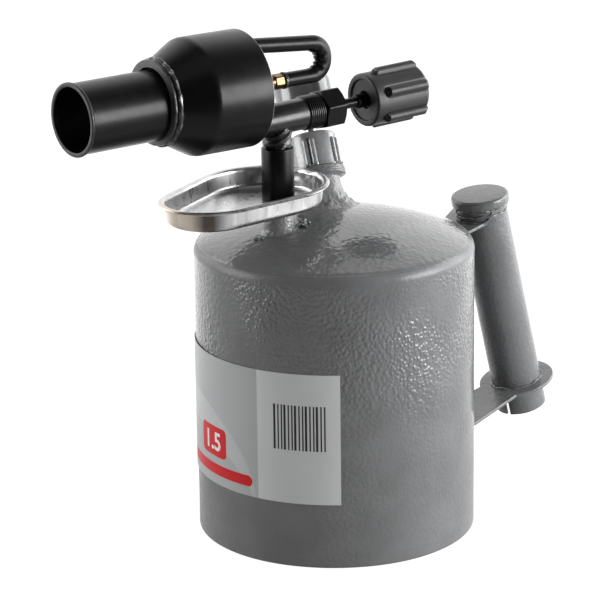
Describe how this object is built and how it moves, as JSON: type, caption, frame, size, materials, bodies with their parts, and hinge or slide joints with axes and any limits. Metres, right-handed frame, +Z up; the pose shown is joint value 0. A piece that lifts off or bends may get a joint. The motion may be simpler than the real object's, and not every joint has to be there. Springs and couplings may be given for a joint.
{
  "type": "petrol blowlamp",
  "caption": "Hand-held petrol blowlamp: round tank, sloping tube handle, pump in the filler neck, needle valve, tin priming tray and a cone-backed burner with a vaporiser loop.",
  "frame": {"origin": "centre of the tank's flat bottom, on the surface that the lamp stands on", "axes": "+Z up along the tank's axis, +X from the tank towards the handle, so the burner points along -X"},
  "size_m": [0.2557, 0.124, 0.2322],
  "materials": {
    "hammered_grey": "glossy grey hammered paint on steel",
    "silver_grey": "silver-grey satin paint on steel",
    "burner_black": "satin black heat-proof finish on steel",
    "tinplate": "bright drawn tinplate",
    "bright_steel": "bright steel",
    "brass": "turned brass",
    "knob_plastic": "matte black heat-proof plastic",
    "label_paper": "smooth printed paper label",
    "fibre": "pressed fibre sealing ring",
    "leather": "oiled cup leather"
  },
  "bodies": {
    "lamp": {"tank_shell": "hammered_grey", "tank_dome": "hammered_grey", "tank_bottom": "hammered_grey", "tank_label": "label_paper", "filler_neck": "hammered_grey", "riser_boss": "hammered_grey", "pickup_tube": "bright_steel", "pickup_strainer": "brass", "drip_tray": "tinplate", "riser_tube": "burner_black", "braze_collar": "burner_black", "valve_body": "burner_black", "gland_packing": "fibre", "gland_nut": "burner_black", "vaporiser_tube": "burner_black", "jet_union": "burner_black", "jet": "brass", "burner_bell": "burner_black", "junction_ring": "burner_black", "flame_tube": "burner_black", "handle_tube": "hammered_grey", "handle_cap": "hammered_grey", "upper_bracket": "hammered_grey", "lower_bracket": "hammered_grey"},
    "needle": {"valve_needle": "bright_steel"},
    "valve_handle": {"valve_spindle": "burner_black", "valve_knob": "knob_plastic"},
    "pump": {"pump_barrel": "brass", "rod_guide": "brass", "pump_gasket": "fibre", "foot_valve_body": "brass"},
    "plunger": {"pump_rod": "bright_steel", "pump_knob": "silver_grey", "piston_leather": "leather", "piston_nut": "brass"},
    "ball": {"foot_valve_ball": "bright_steel"},
    "washer": {"cap_washer": "bright_steel"},
    "cap": {"pump_cap": "silver_grey"}
  },
  "joints": [
    {"name": "needle_travel", "type": "slide", "parent": "lamp", "child": "needle", "axis": [0.9995, 0, 0.0314], "range_m": [0, 0.002]},
    {"name": "valve_turn", "type": "hinge", "parent": "needle", "child": "valve_handle", "pos_m": [-0.0296, 0, 0.1904], "axis": [0.9995, 0, 0.0314], "range_deg": [0, 720]},
    {"name": "pump_lift", "type": "slide", "parent": "lamp", "child": "pump", "axis": [0.1274, 0.4756, 0.8704], "range_m": [0, 0.12]},
    {"name": "pump_stroke", "type": "slide", "parent": "pump", "child": "plunger", "axis": [0.1274, 0.4756, 0.8704], "range_m": [0, 0.07]},
    {"name": "ball_lift", "type": "slide", "parent": "pump", "child": "ball", "axis": [0.1274, 0.4756, 0.8704], "range_m": [0, 0.0012]},
    {"name": "cap_rise", "type": "slide", "parent": "pump", "child": "washer", "axis": [0.1274, 0.4756, 0.8704], "range_m": [0, 0.0045]},
    {"name": "cap_turn", "type": "hinge", "parent": "washer", "child": "cap", "pos_m": [0.008, 0.018, 0.14297], "axis": [0.1274, 0.4756, 0.8704], "range_deg": [0, 1080]}
  ],
  "couplings": [
    {"joint": "needle_travel", "follows": "valve_turn", "m_per_rad": 0.00015915},
    {"joint": "cap_rise", "follows": "cap_turn", "m_per_rad": 0.00023873}
  ]
}
